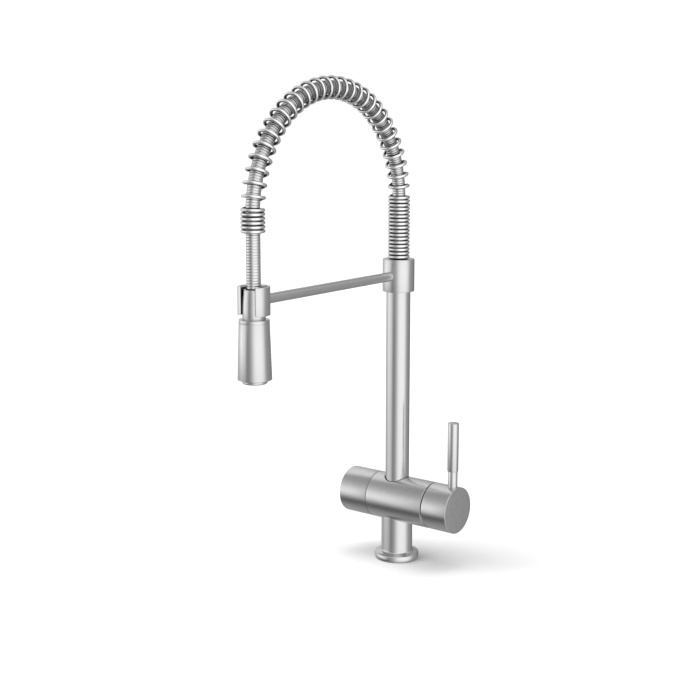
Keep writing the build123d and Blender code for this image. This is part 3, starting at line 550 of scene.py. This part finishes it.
# %% Filter knob
knob_start, knob_end = -24.5, -58.8
knob_floor = knob_end + 4.0
knob_bore = body_radius - 2.3
hub_radius = 7.5
hub_top = knob_floor + 9.0
spindle_bore = 4.03
spindle_end = -52.5           # of the bore
screw_rise = 4.5              # of the set screw above the knob's floor
knob_outline = [(knob_bore, knob_start)]
knob_outline += bevel_arc(body_radius, knob_start - joint_edge, joint_edge, 90, 0)
knob_outline += bevel_arc(body_radius, knob_end + drum_edge, drum_edge, 0, -90)
knob_outline += [(0, knob_end), (0, spindle_end), (spindle_bore, spindle_end), (spindle_bore, hub_top),
                 (hub_radius, hub_top), (hub_radius, knob_floor), (knob_bore, knob_floor)]
knob = lathe("filter_knob_shell", closed(knob_outline), 0, drum_middle)
cut(knob, rod("screw tool", set_screw_bore, body_axis - body_radius - past, body_axis - 5.0, 2,
              ((knob_floor + screw_rise) * mm, 0, 0), screw_steps))
# painted shade on the knob's face in the joint with the drum
paint_joint_shade(knob, lambda corner: corner.x > knob_start - joint_edge / 2)
finished(knob, "filter_tap", "satin_metal", satin_drum, "filter_knob")

# %% Mixer cap
cap_start, cap_end = 47.3, 77.1
cap_bore = body_radius - 1.1
cap_floor = 60.0              # the cap is solid from here to its end
cap_outline = [(cap_bore, cap_start)]
cap_outline += bevel_arc(body_radius, cap_start + joint_edge, joint_edge, 270, 360)
cap_outline += bevel_arc(body_radius, cap_end - drum_edge, drum_edge, 0, 90)
cap_outline += [(0, cap_end), (0, cap_floor), (cap_bore, cap_floor)]
cap = lathe("mixer_cap_shell", closed(cap_outline), 0, drum_middle)

lift_angle = math.radians(11.0)
lifted_room = 0.3             # between the lower rim and the drum when the lever is pulled right out
low_rim = body_end + (lifted_room + body_radius * math.sin(lift_angle)) / math.cos(lift_angle)
rim_slope = (low_rim - cap_start) / body_radius
side = 30.0                   # of the tool that cuts the slant
rim_corners = [(cap_start - 2, body_axis), (cap_start, body_axis),
               (cap_start + rim_slope * side, body_axis - side), (cap_start - 2, body_axis - side)]
rim_tool = prism("rim tool", [Vector((x, -side, z)) * mm for x, z in rim_corners], (0, 2 * side * mm, 0))
lever_x = 70.3
screw_x = 64.5
stem_radius = 5.0
stem_foot = body_axis + 12.0
cap_screw_bore = 2.53
beyond_wall = 26.0            # from the drum's axis
lever_middle = (lever_x * mm, 0, 0)
cut(cap, rim_tool,
    rod("stem tool", stem_radius + joint_room, stem_foot, body_axis + beyond_wall, 2,
        lever_middle, small_steps),
    rod("screw tool", cap_screw_bore, body_axis - beyond_wall, body_axis - 3.5, 2,
        (screw_x * mm, 0, 0), screw_steps))
finished(cap, "lever", "satin_metal", satin_drum, "mixer_cap")

# %% Trim dome
dome_radius, dome_bore = 22.9, 14.4
dome_depth = 8.0              # in front of the drum's end
lip_depth = 4.0               # of the lip that holds it in the drum
nut_fit = nut_bore - joint_room
dome_angle = 90 - math.degrees(math.acos(dome_depth / dome_radius))
dome_outline = [(dome_bore, body_end - lip_depth), (nut_fit, body_end - lip_depth), (nut_fit, body_end)]
dome_outline += arc((0, body_end), dome_radius, 0, dome_angle, 12)
dome_outline += [(dome_bore, body_end + dome_depth)]
dome = lathe("cap_dome", closed(dome_outline), 0, drum_middle)
# the part of the dome that shows in the gap gets painted shade above the axis
seen_in_gap = cap_start + 0.8
paint_joint_shade(dome, lambda corner: (corner.x < seen_in_gap) * ramp(corner.z, painted_shade_start, body_axis))
finished(dome, "base", "satin_metal", satin_drum, "trim_dome")

# %% [markdown]
# ## Lever
# The lever is a thin stem in the cap and a thicker round grip on top of it. Both are turned, and the
# step between them is a sharp shoulder with a tiny round, which shows as a light line.

# %% Lever stem and grip
grip_radius = 5.7
step_height = 106.9
lever_top = 157.7
tenon_radius = 3.5            # of the stem's top, inside the grip
tenon_top = step_height + 14.0
socket_radius = tenon_radius + joint_room
stem = lathe("lever_rod", [(0, stem_foot), (stem_radius, stem_foot), (stem_radius, step_height),
                           (tenon_radius, step_height), (tenon_radius, tenon_top), (0, tenon_top)],
             2, lever_middle, small_steps)
finished(round_edges(stem, 0.12, 2), "lever", "satin_metal", satin_upright, "lever_stem")
grip = lathe("lever_handle", closed([(socket_radius, step_height), (grip_radius, step_height),
                                     (grip_radius, lever_top), (0, lever_top), (0, tenon_top),
                                     (socket_radius, tenon_top)]), 2, lever_middle, small_steps)
finished(round_edges(grip, 0.4), "lever", "satin_metal", satin_upright, "lever_grip")

# %% [markdown]
# ## Column and collar
# The column is a drawn tube that turns in the drum's seat on a spigot. The collar is a thicker sleeve
# pushed over its top, which carries the arm and the spring.

# %% Column, collar and spring seat
column_low, column_high = ends("column_tube", 2)
column_bore = 10.9
column = lathe("column_pipe", closed([(column_radius, column_low), (column_radius, column_high),
                                      (column_bore, column_high), (column_bore, column_low)]))
finished(column, "spout", "satin_metal", satin_upright, "column_tube")

collar_radius = 16.5
collar_low, collar_high = 288.0, 321.5
collar_lid = collar_high - 4.0      # lower face of the collar's lid
collar_bore = column_radius + joint_room
seat_radius = 9.4
lid_bore = seat_radius + joint_room
arm_height = 304.4
arm_level = (0, 0, arm_height * mm)
collar = lathe("column_collar", closed([(collar_bore, collar_low), (collar_radius, collar_low),
                                        (collar_radius, collar_high), (lid_bore, collar_high),
                                        (lid_bore, collar_lid), (collar_bore, collar_lid)]))
round_edges(collar, 0.45)
cut(collar, rod("screw tool", set_screw_bore, 11.0, collar_radius + past, 1, arm_level, screw_steps))
finished(collar, "spout", "satin_metal", satin_upright, "collar")

seat_bore = 6.7
guide_radius = 7.8            # of the part that stands inside the spring
guide_top = collar_high + 8.0
seat = lathe("spring_support", closed([(seat_bore, collar_lid), (seat_radius, collar_lid),
                                       (seat_radius, collar_high), (guide_radius, collar_high),
                                       (guide_radius, guide_top), (seat_bore, guide_top)]),
             steps=small_steps)
finished(round_edges(seat, 0.3), "spout", "black_plastic", black_plastic, "spring_seat")

# %% [markdown]
# ## Arm and clip
# A plain rod reaches from the collar to the clip. Both of its ends are cut to the round that they meet.
# The clip is a ring with its front cut away, so that it springs open round the spray's neck. Its lips
# are bare metal and the rest is lined with black plastic, so it is drawn as a flat outline with the
# pocket in it, filled, and pulled up to its height.

# %% Support arm
reach = 224.35
spray_middle = (0.0, -reach * mm, 0.0)
clip_radius = 15.0
clip_low, clip_high = ends("holder_clip", 2)
arm_radius = 4.75
sunk = 2.0                    # how far the uncut rod reaches into collar and clip
tool_ends = arm_height - 8, arm_height + 8
arm = rod("holder_arm", arm_radius, clip_radius - reach - sunk, sunk - collar_radius, 1,
          arm_level, small_steps)
cut(arm, rod("collar tool", collar_radius + joint_room, *tool_ends),
    rod("clip tool", clip_radius + joint_room, *tool_ends, 2, spray_middle))
finished(arm, "spout", "satin_metal", satin_arm, "support_arm")

# %% Clip
clip_mouth = 47.2             # half of the opening, in degrees from the front
clip_lip = 8.0
lip_radius = 11.8
pocket_radius = 12.6
liner_bore = 11.2
liner_drop = 1.8              # of the liner below the clip's top
liner_room = 0.2              # between the liner's ends and the lips, in degrees


def plan_arc(radius, start, end, steps=90):
    """Points in plan round the spray's axis, in degrees from the front towards +X."""
    turns = [math.radians(start + (end - start) * i / steps) for i in range(steps + 1)]
    return [(radius * math.sin(t), -reach - radius * math.cos(t)) for t in turns]


def plate(name, outline, low, high):
    """An outline in plan, filled and pulled up."""
    return prism(name, [Vector((x, y, low)) * mm for x, y in outline], (0, 0, (high - low) * mm))


first, last = clip_mouth, 360 - clip_mouth
pocket_first, pocket_last = first + clip_lip, last - clip_lip
clip_outline = plan_arc(clip_radius, first, last)
clip_outline += plan_arc(lip_radius, last, pocket_last, 4)
clip_outline += plan_arc(pocket_radius, pocket_last, pocket_first)
clip_outline += plan_arc(lip_radius, pocket_first, first, 4)
clip = plate("neck_clip", clip_outline, clip_low, clip_high)
round_edges(clip, 0.3)
finished(clip, "spout", "satin_metal", satin_upright, "holder_clip")

liner_first, liner_last = pocket_first + liner_room, pocket_last - liner_room
liner_outline = plan_arc(pocket_radius - joint_room, liner_first, liner_last)
liner_outline += plan_arc(liner_bore, liner_last, liner_first)
liner = plate("neck_clip_liner", liner_outline, clip_low, clip_high - liner_drop)
finished(round_edges(liner, 0.15, 2), "spout", "black_plastic", black_plastic, "clip_liner")

# %% [markdown]
# ## The line that hose and spring follow
# Hose and spring rise straight out of the collar, turn over in a half circle and come straight down to
# the spray. One function gives the point and the way outward at any distance along that line, for both
# pieces.

# %% The route
arch_height = 382.5
arch_radius = reach / 2
arch_length = math.pi * arch_radius
arch_middle = Vector((0, -arch_radius, arch_height))


def route(distance):
    """Point and outward normal, at a distance in millimetres from the start of the half circle."""
    if distance <= 0:
        return Vector((0, 0, arch_height + distance)), Vector((0, 1, 0))
    if distance >= arch_length:
        return Vector((0, -reach, arch_height - distance + arch_length)), Vector((0, -1, 0))
    turn = distance / arch_radius
    outward = Vector((0, math.cos(turn), math.sin(turn)))
    return arch_middle + outward * arch_radius, outward


print("half circle", round(arch_length, 1), "mm long")

# %% [markdown]
# ## Spring
# The spring is one wire: seventeen close turns above the collar, open turns over the arch and six close
# ones at the spray's end. An open turn isn't an even screw. It lies square to the hose on the side that
# one sees from the front, and takes its step behind the hose, so the turns look like rings. Each turn
# therefore steps forward by a high power of a sine, which is small everywhere but at the back.
# The wire is a curve with a round bevel, made a mesh.

# %% Spring
wire_radius = 1.6
spring_radius = 9.84
first_ring = -58.6            # along the route, in millimetres, as are the other rings
last_close_ring = 2.0
first_end_ring = arch_length - 4.4
last_ring = first_end_ring + 19.0
close_turns, open_turns, end_turns = 16, 30, 5
all_turns = close_turns + open_turns + end_turns
end_slack = 0.5               # how far the wire's ends may step past the outer rings
step_power = 10
level_side = math.radians(37.5)     # from -Y towards +X, where the turns lie square to the hose
level_way = Vector((math.sin(level_side), -math.cos(level_side), 0))
wire_steps = 28               # points in a turn


def between(start, end, share):
    return start + (end - start) * share


def ring_place(turns):
    """Where a ring lies along the route, so many whole turns after the first one."""
    if turns <= close_turns:
        return between(first_ring, last_close_ring, turns / close_turns)
    turns -= close_turns
    if turns <= open_turns:
        return between(last_close_ring, first_end_ring, turns / open_turns)
    return between(first_end_ring, last_ring, (turns - open_turns) / end_turns)


steps = [math.sin(math.pi * (i + 0.5) / wire_steps) ** step_power for i in range(wire_steps)]
stepped = [sum(steps[:i]) / sum(steps) for i in range(wire_steps)]      # share of the turn's whole step


def wire_point(i):
    """The wire's middle at its point i. At whole turns the wire is at the front."""
    turn, part = divmod(i, wire_steps)
    distance = between(ring_place(turn), ring_place(turn + 1), stepped[part])
    distance = min(max(distance, first_ring - end_slack), last_ring + end_slack)
    centre, outward = route(distance)
    angle = math.atan2(level_way.x, level_way.dot(outward)) + 2 * math.pi * part / wire_steps
    return centre + (outward * math.cos(angle) + axes[0] * math.sin(angle)) * spring_radius


def line_beside(place):
    """The point of the route that is nearest to a place."""
    if place.z < arch_height:
        return Vector((0, 0 if place.y > -arch_radius else -reach, place.z))
    spoke = place - arch_middle
    spoke.x = 0
    return arch_middle + spoke.normalized() * arch_radius


def set_shade_and_polish(piece, shade_and_polish):
    """Writes the mesh attribute of painted shade and polish, from a function of a vertex's place and
    normal.
    """
    values = [shade_and_polish(vertex.co / mm, vertex.normal) for vertex in piece.data.vertices]
    piece.data.attributes.new("shade_and_polish", "FLOAT", "POINT").data.foreach_set("value", values)
    print(piece.name, "shade_and_polish", round(min(values), 2), "to", round(max(values), 2))


def curve_along(name, points):
    """A 3-D curve object through points in millimetres."""
    line = bpy.data.curves.new(name, "CURVE")
    line.dimensions = "3D"
    line.twist_mode = "MINIMUM"
    spline = line.splines.new("POLY")
    spline.points.add(len(points) - 1)
    for point, place in zip(spline.points, points):
        point.co = (*(place * mm), 1)
    piece = bpy.data.objects.new(name, line)
    bpy.context.scene.collection.objects.link(piece)
    return piece


def swept(name, points, radius):
    """Round wire along points, as a mesh."""
    piece = curve_along(name, points)
    piece.data.bevel_depth = radius * mm
    piece.data.bevel_resolution = 3
    piece.data.use_fill_caps = True
    select_only(piece)
    bpy.ops.object.convert(target="MESH")
    return bpy.context.object


def wire_shade_and_polish(place, normal):
    """Painted shade and polish: bright and smooth on the outside of the coil, dark and rough inside and
    on the flanks, where the turns and the hose shade the wire. In the close turns the dark reaches
    further round the wire.
    """
    facing_out = normal.dot((place - line_beside(place)).normalized())
    opened = ramp(place.z, arch_height, arch_height + 30)
    return ramp(facing_out, 0.15 - 0.65 * opened, 0.92 - 0.2 * opened)


half_turn = wire_steps // 2
wire = [wire_point(i) for i in range(-half_turn, all_turns * wire_steps + half_turn + 1)]
spring = swept("arch_spring", wire, wire_radius)
set_shade_and_polish(spring, wire_shade_and_polish)
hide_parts("main_spring")
print("spring", all_turns + 1, "turns,", len(spring.data.polygons), "faces")

# %% [markdown]
# ## Hose
# The hose is a metal conduit: a strip rolled into fine even ribs, with a narrow groove between them.
# One rib is turned, and repeated by an Array modifier into a straight hose. Its ends are squeezed, as a
# press does it, to fit the sockets in the collar and in the spray's neck. A Curve modifier then bends the
# hose round the arch.

# %% Hose
hose_radius = 6.65
groove_depth = 0.22
groove_width = 0.34
crown_drop = 0.05
hose_low = ends("hose_arch", 2)[0]
hose_start = hose_low - arch_height
hose_stop = arch_length + arch_height - ends("hose_tail", 2)[0]
hose_length = hose_stop - hose_start
wished_pitch = 2.6
rib_count = round(hose_length / wished_pitch)
rib_pitch = hose_length / rib_count
groove_floor, crown_edge = hose_radius - groove_depth, hose_radius - crown_drop
crown_start, crown_stop = rib_pitch * 0.35, rib_pitch * 0.65
rib_outline = [(groove_floor, 0), (crown_edge, groove_width / 2), (hose_radius, crown_start),
               (hose_radius, crown_stop), (crown_edge, rib_pitch - groove_width / 2),
               (groove_floor, rib_pitch)]
hose = lathe("ribbed_hose", rib_outline, steps=48)
rows = hose.modifiers.new("ribs", "ARRAY")
rows.count = rib_count
rows.use_relative_offset = False
rows.use_constant_offset = True
rows.constant_offset_displace = (0, 0, rib_pitch * mm)
rows.use_merge_vertices = True
rows.merge_threshold = 0.01 * mm
apply_modifiers(hose)

crimped_radius = 6.4          # of the hose's ends, in the collar and in the ferrule
crimp_length = 9.0
bpy.ops.object.mode_set(mode="EDIT")
bpy.ops.mesh.select_all(action="DESELECT")
bpy.ops.object.mode_set(mode="OBJECT")
for vertex in hose.data.vertices:
    vertex.select = min(vertex.co.z, hose_length * mm - vertex.co.z) < crimp_length * mm
squeeze = crimped_radius / hose_radius
bpy.ops.object.mode_set(mode="EDIT")
bpy.ops.transform.resize(value=(squeeze, squeeze, 1), center_override=(0, 0, 0))
bpy.ops.object.mode_set(mode="OBJECT")

line_steps = 240
hose_line = curve_along("hose line", [route(hose_start + hose_length * i / line_steps)[0]
                                      for i in range(line_steps + 1)])
bending = hose.modifiers.new("bend", "CURVE")
bending.object = hose_line
bending.deform_axis = "POS_Z"
apply_modifiers(hose)
bpy.data.objects.remove(hose_line)


def hose_shade_and_polish(place, normal):
    """Painted darker and a little rougher over the arch, as the shade of the spring's turns."""
    return 1 - ramp(place.z, arch_height + 10, arch_height + 80)


set_shade_and_polish(hose, hose_shade_and_polish)
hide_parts("hose_arch", "hose_tail")
print("hose", rib_count, "ribs,", round(hose_length), "mm,", len(hose.data.polygons), "faces")

# %% [markdown]
# ## Finish of hose and spring
# Pulling the spray draws the hose down out of the spring, and the arch gives a little. Here both pieces
# are smoothed, given their finish, and their place is baked into their meshes.

# %% Smooth hose and spring and give them their finish
for piece, slot, material in ((spring, "spring_steel", spring_wire), (hose, "hose_metal", hose_steel)):
    select_only(piece)
    bpy.ops.object.shade_smooth_by_angle(angle=math.radians(50))
    piece.data.materials.clear()
    piece.data.materials.append(material)
    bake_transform(piece)
    low, high = [piece.bound_box[i] for i in (0, 6)]
    print(piece.name, [round(v, 4) for v in (*low, *high)])

# %% [markdown]
# ## Spray head
# The head is a neck that the clip holds, with a rubber seal on its top, a thin ring with a fine joint
# under it, and a long slightly tapered shell. The neck narrows towards its top, so that it finds its way
# into the clip. The mouth holds a bevelled metal rim round the plate of silicone nozzles, which stays the
# CAD node with its finish. All are turned. One function makes those that need nothing but round edges;
# the rim also gets a band of painted shade under the shell.

# %% Neck and seal
def spray_piece(name, outline, edge, slot, material, *replaced, segments=3, steps=spin_steps):
    """Turned tube of the spray head, with its edges rounded."""
    piece = lathe(name, closed(outline), 2, spray_middle, steps)
    round_edges(piece, edge, segments)
    return finished(piece, "spray_head", slot, material, *replaced)


head_top, head_low = 287.8, 232.2
neck_top, neck_foot = 315.3, 274.0
hose_seat = 297.0             # where the hose's ferrule ends in the neck
neck_bore, water_bore = 7.5, 5.0
neck_thread = 9.0
spray_piece("spray_neck_tube", [(neck_thread, neck_foot), (neck_thread, head_top), (10.7, head_top),
                                (10.65, 296.0), (10.3, 305.0), (9.6, 313.5), (9.4, neck_top),
                                (neck_bore, neck_top), (neck_bore, hose_seat), (water_bore, hose_seat),
                                (water_bore, neck_foot)], 0.3, "satin_metal", satin_upright, "spray_neck")

seal_low, seal_top = neck_top - 1.0, 316.2
seal_bore, seal_radius = 6.7, 7.3
spray_piece("spray_neck_seal", [(seal_bore, seal_low), (seal_radius, seal_low), (seal_radius, seal_top),
                                (seal_bore, seal_top)], 0.15, "seal_rubber", rubber, segments=2,
            steps=small_steps)

# %% Ring and shell
seam = 284.5
top_radius, foot_radius = 14.2, 15.93
thread_bore = neck_thread + joint_room
roof = seam - 9.0             # under side of the shell's closed top
spray_piece("spray_top_ring", [(thread_bore, seam), (top_radius, seam), (top_radius, head_top),
                               (thread_bore, head_top)], 0.12, "satin_metal", satin_upright, "seam_ring")
spray_piece("spray_body", [(thread_bore, seam), (top_radius, seam), (foot_radius, head_low),
                           (14.05, head_low), (12.3, roof), (thread_bore, roof)], 0.12, "satin_metal",
            satin_upright, "spray_shell")

# %% Rim
face_low = 228.5
shade_line = face_low + 2.3   # above it the rim lies in the shadow of the shell, painted on it as a darker band
rim_radius, rim_bore = 11.8, 10.4
rim_top = head_low + 2.4
rim = lathe("spray_rim", closed([(rim_bore, face_low), (11.0, face_low), (rim_radius, face_low + 1.0),
                                 (rim_radius, shade_line), (rim_radius, head_low), (13.9, head_low),
                                 (13.9, rim_top), (rim_bore, rim_top)]), 2, spray_middle)
round_edges(rim, 0.2)
# half-dark painted shade on the rim above the shade line
paint_joint_shade(rim, lambda corner: 0.5 * (corner.z > shade_line - 0.1))
finished(rim, "spray_head", "satin_metal", satin_upright, "spray_face")

# %% [markdown]
# ## Floor and light
# The metal shows only what it reflects, so the studio is a grey room with soft white panels and black
# cards, which are listed below. The room is painted on the world by the direction of a ray, so there is
# no lamp for the metal. The room is white to the camera, and the floor isn't reflected. A row of large
# far lamps, which light only the floor, gives the long soft shadow to the right of the foot.

# %% Floor
floor_grey = 0.4
bpy.ops.object.select_all(action="DESELECT")
bpy.ops.mesh.primitive_plane_add(size=12.0, location=(0, 0, 0))
floor = bpy.context.object
floor.name = "floor"
floor_finish = Finish("pale floor")
floor_colour = (floor_grey, floor_grey, floor_grey, 1)
floor.data.materials.append(floor_finish.surface(Base_Color=floor_colour, Roughness=0.9,
                                                 Specular_IOR_Level=0.0))
floor.visible_glossy = False
floor.visible_shadow = False

# %% Studio
world = bpy.data.worlds.new("studio")
bpy.context.scene.world = world
studio = NodeTree(world)
ray = studio.node("ShaderNodeTexCoord", output="Generated")
ray_parts = studio.node("ShaderNodeSeparateXYZ", {}, {0: ray}).socket.node.outputs
ray_x, ray_y, ray_z = [Value(studio, part) for part in ray_parts]
azimuth = ray_y.maths("ARCTAN2", ray_x) * math.degrees(1)
elevation = ray_z.maths("ARCSINE") * math.degrees(1)


def panel(centre, half_width, height, half_height, brightness):
    """A panel with soft edges. Its centre is in degrees from +X towards +Y, its height in degrees up."""
    aside = (azimuth - centre).maths("WRAP", 180.0, -180.0) * (1 / half_width)
    up = (elevation - height) * (1 / half_height)
    falloff = (aside * aside * (aside * aside) + up * up) * -1
    return falloff.maths("EXPONENT") * brightness


room = 0.375                  # brightness of the grey room
panels = [
    panel(-19, 46, -6, 50, 0.94),         # tall and bright, on the right of the camera
    panel(-135, 33, -4, 30, 0.81),        # on the left
    panel(-166, 22, -5, 9, 0.46),         # a narrow strip further round on the left
    panel(152, 30, 49, 59, 0.58),         # tall, behind on the left
    panel(-22, 77, 62, 30, 0.7),          # pale ceiling
    panel(75, 35, 50, 22, 0.16),          # weak, high behind on the right
    panel(-132.5, 37, -32, 20, -0.53),    # black card, low on the left
    panel(-106, 14, -3, 14, -0.3),        # black card between the left panel and the camera
    panel(97, 25, -10, 35, -0.15),        # black card behind on the right
]
light = sum(panels, start=room).maths("MAXIMUM", 0.0)
to_camera = studio.node("ShaderNodeLightPath", output="Is Camera Ray")
backdrop = 1.05               # just over white
brightness = light + (backdrop - light) * to_camera
white = (1, 1, 1, 1)
studio.end("ShaderNodeOutputWorld",
           studio.node("ShaderNodeBackground", {}, {"Color": white, "Strength": brightness}))
bpy.context.scene.view_settings.view_transform = "Standard"
print(len(panels), "panels and cards")

# %% Floor lamps
lamp = bpy.data.lights.new("floor lamp", "SUN")
lamp.energy = 2.2
lamp.angle = math.radians(45)
lit = bpy.data.collections.new("lit by the floor lamps")
lit.objects.link(floor)
lamp_tilts = (-15, 15, 40, 58)        # degrees from straight down
lamp_side = math.radians(-40)
for tilt in lamp_tilts:
    lamp_object = bpy.data.objects.new("floor lamp", lamp)
    lamp_object.rotation_euler = (math.radians(tilt), 0, lamp_side)
    bpy.context.scene.collection.objects.link(lamp_object)
    lamp_object.light_linking.receiver_collection = lit
